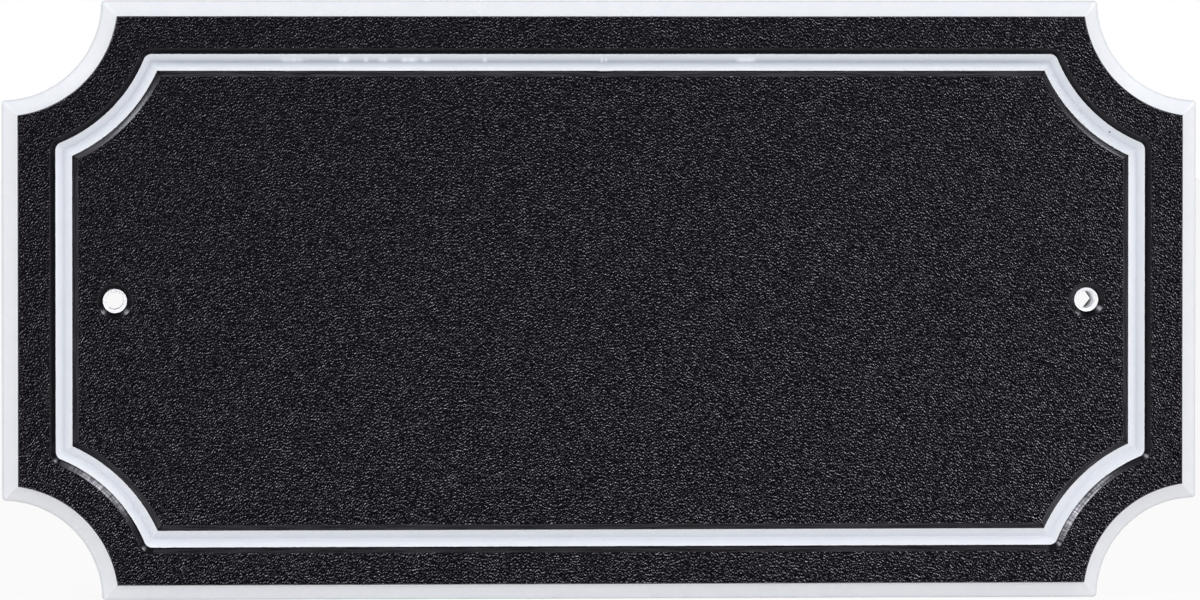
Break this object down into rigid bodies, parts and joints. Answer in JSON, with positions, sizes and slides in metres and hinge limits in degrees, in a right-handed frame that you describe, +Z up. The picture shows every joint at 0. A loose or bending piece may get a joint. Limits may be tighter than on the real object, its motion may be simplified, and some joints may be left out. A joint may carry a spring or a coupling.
{
  "type": "house number plaque",
  "caption": "Blank wall plaque for a house number, routed from black-skinned white sheet with notched corners, a sloped rim, a V groove and countersunk screw holes.",
  "frame": {"origin": "centre of the back face, midway between the two screw holes, on the wall's plane", "axes": "+X along the length, to a reader's right; +Y out of the back, into the wall; +Z up. The face looks along -Y."},
  "size_m": [0.3048, 0.0127, 0.1524],
  "materials": {
    "black_polyethylene": "fine leather grain as extruded, smooth where routed",
    "white_polyethylene": "satin, routed"
  },
  "bodies": {
    "root": {"field_skin": "black_polyethylene", "border_skin": "black_polyethylene", "white_core": "white_polyethylene", "back_skin": "black_polyethylene"}
  },
  "joints": []
}
